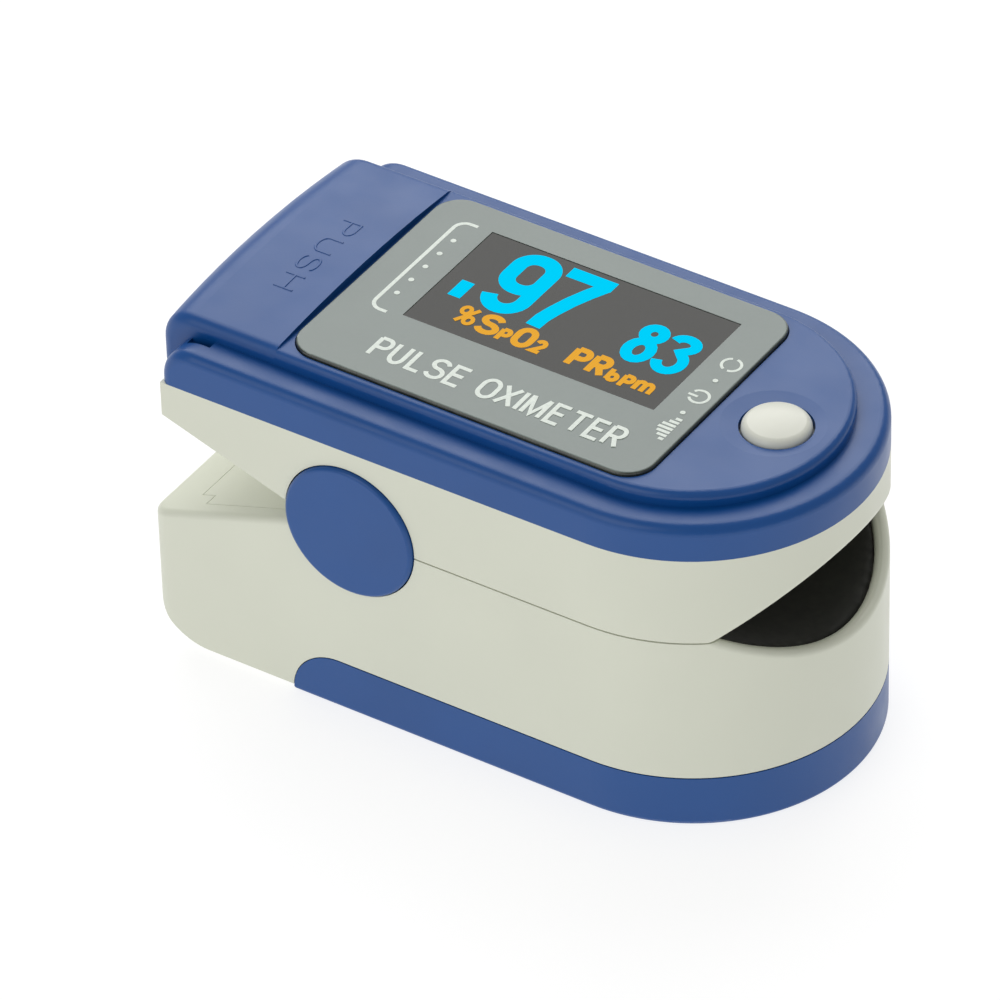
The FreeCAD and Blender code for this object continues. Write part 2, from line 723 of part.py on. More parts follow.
def make_top_cover():
    body = new_body("top_cover")
    pad(body, "plan", [shell_plan("rail_rear")], "cover_seam", "ledge_top+1-cover_seam")
    # ledge: falls slightly to the nose, and its rear end rounds down to the seam
    round_along = "rail_rear+rail_round"
    round_top = f"ledge_top-top_fall*({round_along})"
    cut_side(body, [
        ("nose_centre+half_width+1", "ledge_top-top_fall*(nose_centre+half_width+1)"),
        ("nose_centre+half_width+1", "block_top+1"),
        ("rail_rear-1", "block_top+1"),
        ("rail_rear-1", f"{round_top}-rail_round"),
        ("rail_rear", f"{round_top}-rail_round", round_along, f"{round_top}-rail_round", -1),
        (round_along, round_top),
    ])
    top_rim = value("ledge_top") - 1.0
    fillet(body, "0.9", lambda e: e.BoundBox.ZMax > top_rim and edge_is_outside(e))
    # raised deck and squeeze block
    pad(body, "plan", [shell_plan("step_along", "half_width-deck_half")], "cover_seam", "block_top-cover_seam")
    cut_side(body, [
        ("nose_centre+half_width", "deck_top-top_fall*(nose_centre+half_width)"),
        ("nose_centre+half_width", "block_top+1"),
        ("step_along", "block_top+1"),
        ("step_along", "deck_top-top_fall*step_along"),
    ])
    fillet(body, "0.6", is_deck_edge)
    combine(body, "Fuse", squeeze_block())
    # hollow underside: an outer level under the ledge, an inner one under the deck
    cut(body, "plan", [shell_plan("rail_rear+wall", "wall")], "cover_seam", "1.9", reverse=True)
    cut(body, "plan", [shell_plan("-22.5", "half_width-deck_half+1.2")], "cover_seam",
        "deck_top-roof_thick-cover_seam", reverse=True)
    # lens seat and display opening
    cut(body, "plan", [lens_plan("0.08")], "lens_seat", "4", reverse=True)
    cut(body, "plan", [lens_plan("-1.4")], "cover_seam", "6", reverse=True)
    # button hole in a shallow dish
    cut(body, "plan", [("circle", "button_along", "0", "button_hole")], "cover_seam", "8", reverse=True)
    combine(body, "Cut", ball("button_dish", 29.5, value("deck_top") - 0.51))
    for x, y, _ in SCREW_SPOTS:
        pad(body, "plan", [("circle", x, y, "1.5")], "cover_seam", "2.2")
        cut(body, "plan", [("circle", x, y, "0.7")], "cover_seam", "28.02-cover_seam", reverse=True)
    # lanyard slots beside the squeeze block, at the rear end of each rail
    slot_rear, slot_front, slot_low, slot_high = "-25.1", "-22.9", "deck_half+0.02", "deck_half+0.82"
    for side in (1, -1):
        low, high = (slot_low, slot_high) if side > 0 else (f"-({slot_high})", f"-({slot_low})")
        box(body, "cut", (slot_rear, slot_front), (low, high), ("ledge_top-2.2", "block_top"))
    return node(body)


def squeeze_block():
    """The squeeze block's arched plan, raised from the seam, turned over the heel and run on to the step."""
    corner_x, meet_x, meet_y = (value(size) for size in block_corner())
    names = ("block_rear", "deck_half", "shoulder_round", "heel_round", "cover_seam")
    rear, half, shoulder, heel, seam = (value(name) for name in names)
    inner, turn_height = rear + 3, value("block_top-heel_round")

    def spot(x, y):
        return FreeCAD.Vector(x, y, seam)

    lean = (math.pi / 2 + math.asin(meet_y / value("crown_radius"))) / 2
    mid_x, mid_y = corner_x - shoulder * math.cos(lean), half - shoulder + shoulder * math.sin(lean)
    edges = [
        Part.makePolygon([spot(corner_x, half), spot(inner, half), spot(inner, -half), spot(corner_x, -half)]),
        Part.Arc(spot(corner_x, -half), spot(mid_x, -mid_y), spot(meet_x, -meet_y)).toShape(),
        Part.Arc(spot(meet_x, -meet_y), spot(rear, 0), spot(meet_x, meet_y)).toShape(),
        Part.Arc(spot(meet_x, meet_y), spot(mid_x, mid_y), spot(corner_x, half)).toShape(),
    ]
    section = Part.Face(Part.Wire(Part.sortEdges([edge for run in edges for edge in run.Edges])[0]))
    riser = section.extrude(FreeCAD.Vector(0, 0, turn_height - seam))
    section.translate(FreeCAD.Vector(0, 0, turn_height - seam))
    pivot, across = FreeCAD.Vector(rear + heel, 0, turn_height), FreeCAD.Vector(0, 1, 0)
    over = section.revolve(pivot, across, 90)
    section.rotate(pivot, across, 90)
    along = section.extrude(FreeCAD.Vector(value("step_along") - rear - heel, 0, 0))
    block = doc.addObject("Part::Feature", "squeeze_block")
    block.Shape = riser.fuse([over, along]).removeSplitter()
    return block


def is_deck_edge(edge):
    """True for the rim of the raised deck, along both sides and round the nose."""
    bounds = edge.BoundBox
    is_ahead = bounds.XMin > value("step_along") - 0.01
    return is_ahead and bounds.XLength > 0.5 and bounds.ZMin > value("ledge_top") + 0.5


def edge_is_outside(edge):
    """True for an edge that lies all along the outer wall of the plan."""
    half = value("half_width")
    centre = value("nose_centre")
    for place in (0.1, 0.5, 0.9):
        spot = edge.valueAt(edge.FirstParameter + place * (edge.LastParameter - edge.FirstParameter))
        reach = abs(spot.y) if spot.x < centre else math.hypot(spot.x - centre, spot.y)
        if abs(reach - half) > 0.05:
            return False
    return True


def lens_plan(clear):
    """Rounded rectangle of the display lens, enlarged by clear."""
    corner = f"(lens_corner+{clear})"
    rear, front, side = f"(lens_rear-({clear}))", f"(lens_front+{clear})", f"(lens_half+{clear})"
    in_rear, in_front, in_side = f"{rear}+{corner}", f"{front}-{corner}", f"({side}-{corner})"
    return [
        (in_rear, f"-{side}"),
        (in_front, f"-{side}", in_front, f"-{in_side}", 1),
        (front, f"-{in_side}"),
        (front, in_side, in_front, in_side, 1),
        (in_front, side),
        (in_rear, side, in_rear, in_side, 1),
        (rear, in_side),
        (rear, f"-{in_side}", in_rear, f"-{in_side}", 1),
    ]


def make_display():
    lens = new_body("display_lens")
    pad(lens, "plan", [lens_plan("0")], "lens_seat", "2")
    cut_side(lens, [
        ("nose_centre+half_width", "lens_top-top_fall*(nose_centre+half_width)"),
        ("nose_centre+half_width", "block_top+2"),
        ("block_rear", "block_top+2"),
        ("block_rear", "lens_top-top_fall*block_rear"),
    ])
    fillet(lens, "0.25", lambda e: e.BoundBox.ZMin > value("lens_seat") + 0.5)
    node(lens)
    mask = new_body("lens_mask")
    opening = rectangle(("-11.34", "11.88"), ("-3.29", "9.62"))
    pad(mask, "plan", [lens_plan("-1.45"), opening], "lens_seat-0.12", "0.1")
    node(mask)
    panel = new_body("oled_panel")
    box(panel, "pad", ("-12.8", "13.4"), ("-8.2", "11.05"), ("panel_bottom", "panel_top"))
    node(panel)
    frame = new_body("display_frame")
    outer = rectangle(("-13.6", "14.2"), ("-9", "11.05"))
    inner = rectangle(("-12", "12.6"), ("-7.4", "9.5"))
    pad(frame, "plan", [outer, inner], "board_bottom+board_thick", "panel_bottom-board_bottom-board_thick")
    box(frame, "cut", ("-5.6", "6.4"), ("-9.5", "-7"), ("panel_bottom-0.5", "panel_bottom+1"))
    node(frame)
    tail = new_body("oled_flex")
    low, high = "board_bottom+board_thick", "panel_bottom-0.05"
    bend = f"({high}-0.7)"
    ribbon = [
        ("-7.6", f"{high}-0.2"),
        ("-7.6", high),
        ("-9.6", high, "-9.6", bend, 1),
        ("-10.3", bend),
        ("-10.3", low),
        ("-10.1", low),
        ("-10.1", bend, "-9.6", bend, -1),
        ("-9.6", f"{high}-0.2"),
    ]
    pad(tail, "front", [ribbon], "-5", "10.8")
    node(tail)


def make_board():
    board = new_body("main_board")
    pad(board, "plan", [chopped_plan("-17", "11.7", "13.3")], "board_bottom", "board_thick")
    holes = [("circle", x, y, "1.1") for x in ("-15", "19") for y in ("-9.5", "9.5")]
    cut(board, "plan", holes, "board_bottom", "board_thick", reverse=True)
    node(board)
    top = "board_bottom+board_thick"
    for label, x, y, half_x, half_y, rise in (
        ("microcontroller", -3, -1, 3.5, 3.5, 1.0),
        ("amplifier_chip", 6, 4, 2.0, 1.6, 0.9),
        ("boost_converter", -9, 5, 1.5, 1.5, 0.9),
        ("crystal", 4, -4, 1.6, 1.0, 0.8),
    ):
        chip = new_body(label)
        box(chip, "pad", (f"{x - half_x}", f"{x + half_x}"), (f"{y - half_y}", f"{y + half_y}"),
            (top, f"{top}+{rise}"))
        fillet(chip, "0.12", lambda e, rise=rise: e.BoundBox.ZMin > value(top) + rise - 0.01)
        node(chip)
    led = new_body("led_emitter")
    box(led, "pad", ("window_along-1.9", "window_along+1.9"), ("-1.6", "1.6"),
        ("arch_centre+arch_radius+pad_thick+0.05", "board_bottom"))
    node(led)
    channel_window("emitter_window", "arch_centre+arch_radius+0.1", "arch_centre+arch_radius+pad_thick-0.3")


def ball(label, radius, low):
    """A ball over the button's axis, with its lowest point at this height."""
    tool = doc.addObject("Part::Sphere", label)
    tool.Radius = radius
    centre = FreeCAD.Vector(value("button_along"), 0, low + radius)
    tool.Placement = FreeCAD.Placement(centre, FreeCAD.Rotation(FreeCAD.Vector(0, 0, 1), 40))
    return tool


def make_button():
    switch = new_body("tact_switch")
    base = "board_bottom+board_thick"
    box(switch, "pad", ("button_along-2.2", "button_along+2.2"), ("-2.2", "2.2"), (base, f"{base}+1.5"))
    cut(switch, "plan", [("circle", "button_along", "0", "1.1")], f"{base}+0.5", "2", reverse=True)
    fillet(switch, "0.25", lambda e: e.BoundBox.ZLength > 1.4)
    node(switch)
    plunger = new_body("switch_plunger")
    pad(plunger, "plan", [("circle", "button_along", "0", "1.02")], f"{base}+0.5+button_travel+0.1", "1.4")
    node(plunger)
    button = new_body("power_button")
    stem_low = f"{base}+0.5+button_travel+0.1+1.4"
    flange_top = "deck_top-roof_thick-0.1"
    pad(button, "plan", [("circle", "button_along", "0", "1.5")], stem_low, f"{flange_top}-({stem_low})-0.3")
    pad(button, "plan", [("circle", "button_along", "0", "3.35")], f"{flange_top}-0.6", "0.6")
    pad(button, "plan", [("circle", "button_along", "0", "button_radius")], flange_top,
        f"button_top-({flange_top})")
    # domed top: only what lies inside a large ball is kept
    crown = 7.5
    combine(button, "Common", ball("button_dome", crown, value("button_top") - 2 * crown))
    fillet(button, "0.7", lambda e: e.BoundBox.ZMin > value("button_top") - 0.7)
    node(button)


def write_nodes():
    """Check every object, then write one STEP file per sub-part."""
    doc.recompute()
    for item in doc.Objects:
        if {"Invalid", "Error"} & set(item.State):
            raise ValueError(f"{item.Label} failed to recompute: {item.State}")
    os.makedirs("parts", exist_ok=True)
    for part in NODES:
        if part.Shape.isNull() or not part.Shape.isValid():
            raise ValueError(f"{part.Label} has no valid shape")
        part.Shape.exportStep(f"parts/{part.Label}.step")
        print(f"{part.Label:20s} {len(part.Shape.Solids)} {part.Shape.Volume:9.1f} mm3")


make_lower_case()
make_lower_tray()
make_battery_cover()
finger_pad("lower_finger_pad", False)
make_detector()
make_jaw_flex()
make_cell("battery_left", 1, False)
make_cell("battery_right", -1, True)
make_contact_plates()
make_battery_springs()
make_axle()
make_hinge_cap("hinge_cap_left", 1)
make_hinge_cap("hinge_cap_right", -1)
make_torsion_spring("torsion_spring_left", 1)
make_torsion_spring("torsion_spring_right", -1)
make_upper_case()
finger_pad("upper_finger_pad", True)
make_top_cover()
make_upper_screws()
make_display()
make_board()
make_button()
write_nodes()
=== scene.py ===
import math

import bmesh
import bpy
from mathutils import Matrix, Vector


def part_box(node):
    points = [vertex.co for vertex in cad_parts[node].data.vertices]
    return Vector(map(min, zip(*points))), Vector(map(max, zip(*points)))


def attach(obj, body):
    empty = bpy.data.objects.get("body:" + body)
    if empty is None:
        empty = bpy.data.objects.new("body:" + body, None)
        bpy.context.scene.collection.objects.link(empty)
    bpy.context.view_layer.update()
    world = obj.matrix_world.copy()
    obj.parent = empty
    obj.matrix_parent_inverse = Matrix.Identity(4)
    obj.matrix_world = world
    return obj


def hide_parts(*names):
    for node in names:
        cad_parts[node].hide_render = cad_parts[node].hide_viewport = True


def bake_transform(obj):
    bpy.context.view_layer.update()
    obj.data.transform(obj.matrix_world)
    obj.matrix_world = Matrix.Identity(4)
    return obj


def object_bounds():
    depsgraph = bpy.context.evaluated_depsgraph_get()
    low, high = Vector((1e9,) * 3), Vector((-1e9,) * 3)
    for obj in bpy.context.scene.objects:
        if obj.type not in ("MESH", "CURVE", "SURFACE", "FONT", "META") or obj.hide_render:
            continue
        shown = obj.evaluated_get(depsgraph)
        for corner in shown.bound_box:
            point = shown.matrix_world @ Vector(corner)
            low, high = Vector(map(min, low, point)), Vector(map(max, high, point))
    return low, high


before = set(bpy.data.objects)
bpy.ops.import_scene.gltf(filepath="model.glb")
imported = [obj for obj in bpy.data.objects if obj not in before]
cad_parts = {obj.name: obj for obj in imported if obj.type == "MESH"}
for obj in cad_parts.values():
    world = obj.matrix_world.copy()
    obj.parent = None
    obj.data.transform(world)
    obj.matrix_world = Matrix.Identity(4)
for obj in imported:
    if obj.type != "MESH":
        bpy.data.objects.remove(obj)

# Outlines and sizes are in mm, in the object's own frame.
MM = 0.001
cad_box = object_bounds()
cad_middle = (cad_box[0] + cad_box[1]) / 2


# ---------------------------------------------------------------- materials

def srgb(red, green, blue):
    """Linear colour from a screen colour of 0 to 255."""
    def linear(value):
        value /= 255
        return value / 12.92 if value <= 0.04045 else ((value + 0.055) / 1.055) ** 2.4
    return (linear(red), linear(green), linear(blue), 1.0)


def shade(colour, factor):
    return tuple(min(1.0, c * factor) for c in colour[:3]) + (1.0,)


class Shader:
    """A material with one Principled shader, and short ways to feed it patterns in object space.
    Sockets are named with _ for each space."""

    def __init__(self, name, **constants):
        self.material = bpy.data.materials.new(name)
        self.material.use_nodes = True
        self.tree = self.material.node_tree
        self.shader = self.tree.nodes["Principled BSDF"]
        self.set(**constants)
        self.place = self.add("ShaderNodeTexCoord").outputs["Object"]

    def add(self, kind, settings=None, **inputs):
        node = self.tree.nodes.new(kind)
        for key, value in (settings or {}).items():
            setattr(node, key, value)
        for key, value in inputs.items():
            self.feed(node.inputs[key.replace("_", " ")], value)
        return node

    def feed(self, socket, value):
        if isinstance(value, bpy.types.NodeSocket):
            self.tree.links.new(value, socket)
        else:
            socket.default_value = value

    def set(self, **inputs):
        for key, value in inputs.items():
            self.feed(self.shader.inputs[key.replace("_", " ")], value)
        return self.material

    def stretched(self, x=1.0, y=1.0, z=1.0):
        """The object's coordinates, scaled apart to stretch a pattern along an axis."""
        return self.add("ShaderNodeMapping", Vector=self.place, Scale=(x, y, z)).outputs["Vector"]

    def noise(self, size, detail=3.0, place=None):
        """Noise with features of about this size in mm."""
        node = self.add("ShaderNodeTexNoise", Vector=place or self.place, Scale=1 / (size * MM),
                        Detail=detail)
        return node.outputs["Fac"]

    def cells(self, size, gap, width=0.5, height=0.5, offset=0.0, squash=1.0):
        """Rows of cells with gaps, at this scale in mm; gap, width and height are shares of it."""
        node = self.add("ShaderNodeTexBrick", {"offset": offset, "squash": squash}, Vector=self.place,
                        Scale=1 / (size * MM), Mortar_Size=gap, Brick_Width=width, Row_Height=height)
        return node.outputs["Fac"]

    def remap(self, value, from_low, from_high, low=0.0, high=1.0):
        """Carry a value from one range to another, and stop at its ends."""
        node = self.add("ShaderNodeMapRange", Value=value, From_Min=from_low, From_Max=from_high,
                        To_Min=low, To_Max=high)
        return node.outputs["Result"]

    def spread(self, noise, low, high):
        """Stretch noise, which stays near its middle, so that it runs from low to high."""
        return self.remap(noise, 0.3, 0.7, low, high)

    def colours(self, factor, *stops, blend="LINEAR"):
        """A colour ramp over (place, colour) stops."""
        node = self.add("ShaderNodeValToRGB", Fac=factor)
        ramp = node.color_ramp
        ramp.interpolation = blend
        for i in range(1, len(stops) - 1):
            ramp.elements.new(i / (len(stops) - 1))
        for element, (place, colour) in zip(ramp.elements, stops):
            element.position = place
            element.color = colour
        return node.outputs["Color"]

    def mottled(self, noise, dark, light):
        """Two close colours in patches."""
        return self.colours(noise, (0.3, dark), (0.7, light))

    def bump(self, height, depth):
        """Relief of this depth in mm."""
        node = self.add("ShaderNodeBump", Height=height, Distance=depth * MM, Strength=1.0)
        self.set(Normal=node.outputs["Normal"])


def moulded(name, colour, rough=(0.3, 0.4), depth=0.0035, flow=0.04):
    """Moulded plastic: a spark-eroded grain, slow shifts of tone and a few softer, handled patches."""
    s = Shader(name)
    tone = s.noise(9, 2)
    handled = s.noise(3.5, 4)
    s.bump(s.noise(0.16, 2), depth)
    return s.set(
        Base_Color=s.mottled(tone, shade(colour, 1 - flow), shade(colour, 1 + flow)),
        Roughness=s.spread(handled, *rough))


def silicone():
    """Matt black silicone with a little dust."""
    s = Shader("silicone", Sheen_Weight=0.12, Sheen_Roughness=0.5, Specular_IOR_Level=0.35)
    dust = s.noise(0.7, 5)
    s.bump(s.noise(0.12, 2), 0.006)
    return s.set(
        Base_Color=s.colours(dust, (0.35, (0.009, 0.0093, 0.007, 1)), (0.75, (0.016, 0.0163, 0.012, 1))),
        Roughness=s.spread(s.noise(2.2), 0.55, 0.7))


def brushed(name, colour, stretch):
    """Bare metal with a fine pattern, which a stretch under 1 draws out into lines along that axis."""
    s = Shader(name, Metallic=1.0)
    lines = s.noise(0.05, 3, s.stretched(*stretch))
    s.bump(lines, 0.002)
    return s.set(
        Base_Color=s.mottled(lines, shade(colour, 0.86), shade(colour, 1.06)),
        Roughness=s.spread(lines, 0.22, 0.38))


def circuit_board():
    """Green solder mask over copper runs, with bare round pads."""
    s = Shader("solder_mask", Coat_Weight=0.4, Coat_Roughness=0.2)
    runs = s.cells(1.7, gap=0.06, width=0.9, height=0.28, offset=0.5, squash=1.6)
    pads = s.add("ShaderNodeTexVoronoi", Vector=s.place, Scale=1 / (1.6 * MM), Randomness=0.55)
    mask = s.colours(runs, (0.0, (0.012, 0.12, 0.035, 1)), (1.0, (0.02, 0.2, 0.06, 1)))
    bare = s.colours(pads.outputs["Distance"], (0.13, (1, 1, 1, 1)), (0.16, (0, 0, 0, 1)))
    tinned = s.add("ShaderNodeMixRGB", Fac=bare, Color1=mask, Color2=(0.75, 0.72, 0.62, 1))
    s.bump(runs, 0.03)
    return s.set(Base_Color=tinned.outputs["Color"], Roughness=s.spread(s.noise(0.8), 0.3, 0.45))


def chip():
    """Black moulded epoxy with a fine speckle."""
    s = Shader("moulded_epoxy")
    speckle = s.noise(0.09, 3)
    s.bump(speckle, 0.006)
    return s.set(
        Base_Color=s.mottled(speckle, (0.012, 0.012, 0.014, 1), (0.024, 0.024, 0.027, 1)),
        Roughness=s.spread(speckle, 0.55, 0.75))


def cell_sleeve():
    """A printed sleeve: dark for most of the length, a copper-coloured band towards one end."""
    s = Shader("cell_sleeve", Coat_Weight=0.5, Coat_Roughness=0.15, Metallic=0.2)
    steel, dark, copper = (0.55, 0.55, 0.54, 1), (0.012, 0.014, 0.02, 1), (0.6, 0.27, 0.1, 1)
    along = s.add("ShaderNodeSeparateXYZ", Vector=s.place).outputs["X"]
    sleeve = s.remap(along, -23.5 * MM, 20.5 * MM)
    bands = s.colours(sleeve, (0.0, steel), (0.035, dark), (0.7, copper), (0.72, steel), (0.735, copper),
                      (0.965, steel), blend="CONSTANT")
    s.bump(s.noise(0.4), 0.004)
    return s.set(Base_Color=bands, Roughness=s.spread(s.noise(1.2), 0.25, 0.4))


def flex_film():
    """Polyimide film with parallel copper runs."""
    s = Shader("polyimide", Coat_Weight=0.3, Coat_Roughness=0.2)
    runs = s.add("ShaderNodeTexWave", {"bands_direction": "Y"}, Vector=s.place, Scale=1 / (2.2 * MM))
    s.bump(runs.outputs["Fac"], 0.02)
    return s.set(
        Base_Color=s.colours(runs.outputs["Fac"], (0.4, (0.33, 0.13, 0.02, 1)), (0.6, (0.55, 0.27, 0.06, 1))),
        Roughness=s.spread(s.noise(0.6), 0.3, 0.42))


def clear_epoxy():
    """Cast clear resin, slightly uneven."""
    s = Shader("clear_epoxy", Transmission_Weight=0.92, IOR=1.5)
    s.bump(s.noise(1.4), 0.01)
    return s.set(
        Base_Color=s.mottled(s.noise(2.5), (0.78, 0.8, 0.78, 1), (0.9, 0.91, 0.9, 1)),
        Roughness=s.spread(s.noise(0.9), 0.04, 0.12))


def lens_face():
    """The grey print seen through polished acrylic, with faint wiping marks in the gloss."""
    s = Shader("lens_print", Coat_Weight=1.0, Coat_IOR=1.49, Specular_IOR_Level=0.1)
    wipes = s.noise(0.35, 5, s.stretched(x=0.12))
    grey = srgb(114, 126, 120)
    return s.set(
        Base_Color=s.mottled(s.noise(6, 3), shade(grey, 0.965), shade(grey, 1.035)),
        Roughness=s.spread(s.noise(0.3), 0.45, 0.6),
        Coat_Roughness=s.spread(wipes, 0.05, 0.11))


def painted_shade_lens_rim():
    """The lens's edge, glossy, in a dark olive that is a painted shade: the dark interior seen through its
    clear sides.
    """
    s = Shader("lens_rim_painted_shade", Coat_Weight=0.6, Coat_Roughness=0.08, Coat_IOR=1.49)
    return s.set(
        # Painted shade: this dark olive stands in for the dark interior seen through the lens's clear edge.
        Base_Color=s.mottled(s.noise(2.0, 3), srgb(38, 42, 34), srgb(66, 70, 58)),
        Roughness=s.spread(s.noise(0.5), 0.2, 0.35))


SCREEN_GRID = 0.36       # scale of the display's grid of cells


def screen_glass():
    """The unlit screen: brown-black glass with the faint grid of its cells."""
    s = Shader("screen_glass", Coat_Weight=0.7, Coat_IOR=1.49, Specular_IOR_Level=0.0)
    grid = s.cells(SCREEN_GRID, gap=0.08)
    return s.set(
        Base_Color=s.colours(grid, (0.0, (0.011, 0.010, 0.004, 1)), (1.0, (0.006, 0.006, 0.002, 1))),
        Roughness=s.spread(s.noise(0.8), 0.4, 0.5),
        Coat_Roughness=s.spread(s.noise(2.4), 0.05, 0.1))


def lit_segment(name, colour):
    """Lit screen cells: even light with the faint grid between the cells."""
    s = Shader(name, Specular_IOR_Level=0.0, Roughness=0.9, Emission_Strength=1.0)
    grid = s.cells(SCREEN_GRID, gap=0.05)
    return s.set(
        Base_Color=s.colours(grid, (0.0, shade(colour, 0.02)), (1.0, shade(colour, 0.015))),
        Emission_Color=s.colours(grid, (0.0, colour), (1.0, shade(colour, 0.86))))


def print_ink():
    """White ink, a little uneven."""
    s = Shader("white_ink", Coat_Weight=0.5, Coat_Roughness=0.1)
    mottle = s.noise(0.25, 3)
    return s.set(
        Base_Color=s.mottled(mottle, srgb(214, 224, 214), srgb(232, 240, 230)),
        Roughness=s.spread(mottle, 0.45, 0.6))


def pale_floor():
    """A white floor that glows a little, so that only the contact shadow shows on it."""
    s = Shader("floor", Specular_IOR_Level=0.0, Roughness=0.9, Emission_Color=(1, 1, 1, 1),
               Emission_Strength=0.8)
    return s.set(Base_Color=s.mottled(s.noise(60), (0.29, 0.29, 0.29, 1), (0.31, 0.31, 0.31, 1)))


blue_plastic = moulded("blue_abs", (0.001, 0.07, 0.282, 1))
white_plastic = moulded("white_abs", (0.725, 0.745, 0.625, 1), (0.34, 0.44), flow=0.012)
# The button is the case's white plastic made lighter: a painted sheen on its glossy top.
button_sheen_plastic = moulded("button_painted_sheen", (0.8, 0.81, 0.71, 1), (0.28, 0.36), depth=0.002, flow=0.008)
black_plastic = moulded("black_abs", (0.02, 0.02, 0.02, 1), (0.5, 0.62), flow=0.1)
wire = brushed("spring_wire", (0.62, 0.62, 0.6, 1), (1, 1, 1))
sheet_steel = brushed("plated_steel", (0.7, 0.69, 0.66, 1), (1, 0.06, 1))
turned_steel = brushed("turned_steel", (0.66, 0.66, 0.65, 1), (1, 0.08, 1))
lens_grey = lens_face()
lens_rim_shade = painted_shade_lens_rim()
unlit_screen = screen_glass()
ink = print_ink()
rubber = silicone()
film = flex_film()

NODE_MATERIALS = {
    blue_plastic: ["top_cover", "battery_cover", "hinge_cap_left", "hinge_cap_right"],
    white_plastic: ["lower_case", "lower_tray", "upper_case"],
    button_sheen_plastic: ["power_button"],
    black_plastic: ["display_frame", "tact_switch"],
    rubber: ["lower_finger_pad", "upper_finger_pad"],
    wire: ["battery_springs", "torsion_spring_left", "torsion_spring_right"],
    sheet_steel: ["rear_contacts", "front_contact", "crystal"],
    turned_steel: ["hinge_axle", "upper_screws"],
    circuit_board(): ["main_board", "detector_board"],
    chip(): ["microcontroller", "amplifier_chip", "boost_converter", "photodiode", "switch_plunger"],
    cell_sleeve(): ["battery_left", "battery_right"],
    film: ["jaw_flex", "oled_flex"],
    clear_epoxy(): ["detector_window", "emitter_window", "led_emitter"],
    unlit_screen: ["oled_panel"],
    lens_grey: ["lens_mask", "display_lens"],
}
for material, names in NODE_MATERIALS.items():
    for name in names:
        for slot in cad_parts[name].material_slots:
            slot.material = material


# ---------------------------------------------------------------- mesh tools

def node_box(name):
    """A node's lowest and highest corners, in mm."""
    return [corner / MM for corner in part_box(name)]


def finish_piece(name, bm, body, materials):
    """Turn a mesh drawn in mm into a piece that rides on a body, or on none if no body is given."""
    mesh = bpy.data.meshes.new(name)
    bmesh.ops.recalc_face_normals(bm, faces=bm.faces)
    bm.to_mesh(mesh)
    bm.free()
    mesh.transform(Matrix.Scale(MM, 4))
    for material in materials:
        mesh.materials.append(material)
    piece = bpy.data.objects.new(name, mesh)
    bpy.context.scene.collection.objects.link(piece)
    if body:
        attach(piece, body)
    return piece


def arc(x, y, rx, ry, start, end, steps=12):
    """Points of an elliptical arc, in degrees."""
    turns = [math.radians(start + (end - start) * i / steps) for i in range(steps + 1)]
    return [(x + rx * math.cos(t), y + ry * math.sin(t)) for t in turns]


def rounded(x_low, x_high, y_low, y_high, radius, steps=10):
    """A rounded rectangle, with the same number of points whatever its radius."""
    corners = ((x_high, y_high, 0), (x_low, y_high, 90), (x_low, y_low, 180), (x_high, y_low, 270))
    points = []
    for x, y, turn in corners:
        inside_x = x - radius if turn in (0, 270) else x + radius
        inside_y = y - radius if turn in (0, 90) else y + radius
        points += arc(inside_x, inside_y, radius, radius, turn, turn + 90, steps)
    return points


def stitch(bm, rings, material=lambda row: 0, open_ends=False):
    """Faces between matching rings of points; material picks a slot for each row of faces."""
    loops = [[bm.verts.new(p) for p in ring] for ring in rings]
    count = len(loops[0])
    for row, (near, far) in enumerate(zip(loops, loops[1:])):
        for i in range(count):
            j = (i + 1) % count
            bm.faces.new((near[i], near[j], far[j], far[i])).material_index = material(row)
    if not open_ends:
        bm.faces.new(loops[0]).material_index = material(0)
        bm.faces.new(loops[-1]).material_index = material(len(loops) - 2)


SAME_POINT = 1e-6        # points closer than this are one point, mm
SHARPEST_MITRE = 0.45    # a sharper corner of a stroke is cut back to this cosine


def ribbon(bm, points, width, base, height, closed=False, taper=1.0):
    """A raised line with mitred corners; base(x, y) is the surface that it lies on."""
    spots = points[:1]
    for point in points[1:]:
        if math.dist(point, spots[-1]) > SAME_POINT:
            spots.append(point)
    count = len(spots)
    sections = []
    for i, (x, y) in enumerate(spots):
        around = []
        for a, b in ((i - 1, i), (i, i + 1)):
            if closed or (a >= 0 and b < count):
                around.append((Vector(spots[b % count]) - Vector(spots[a % count])).normalized())
        along = sum(around, Vector((0, 0))).normalized()
        reach = width / 2 / max(SHARPEST_MITRE, along.dot(around[0]))
        section = []
        for side, up in ((1, 0), (taper, height), (-taper, height), (-1, 0)):
            px, py = x - along.y * reach * side, y + along.x * reach * side
            section.append((px, py, base(px, py) + up))
        sections.append(section)
    if closed:
        sections.append(sections[0])
    stitch(bm, sections, open_ends=closed)
    bmesh.ops.remove_doubles(bm, verts=bm.verts, dist=SAME_POINT / 10)


INK = 0.015              # thickness of a printed line
STROKE_STEP = 0.002      # each stroke of a mark lies this much above the last


def strokes_piece(name, strokes, body, material, base, height=INK, taper=1.0):
    """One piece out of strokes of (points, width, closed)."""
    bm = bmesh.new()
    for i, (points, width, closed) in enumerate(strokes):
        stroke = bmesh.new()
        ribbon(stroke, points, width, base, height + i * STROKE_STEP, closed, taper)
        part = bpy.data.meshes.new("stroke")
        stroke.to_mesh(part)
        stroke.free()
        bm.from_mesh(part)
        bpy.data.meshes.remove(part)
    return finish_piece(name, bm, body, [material])


# ---------------------------------------------------------------- letter shapes in a unit square

BOWL = [(0, 1), (0.55, 1)] + arc(0.58, 0.74, 0.42, 0.26, 90, -90) + [(0, 0.48)]
OVAL = arc(0.5, 0.66, 0.5, 0.34, 0, 180) + arc(0.5, 0.34, 0.5, 0.34, 180, 360)
LEFT_STEM = ([(0, 0), (0, 1)], False)
RIGHT_STEM = ([(1, 0), (1, 1)], False)


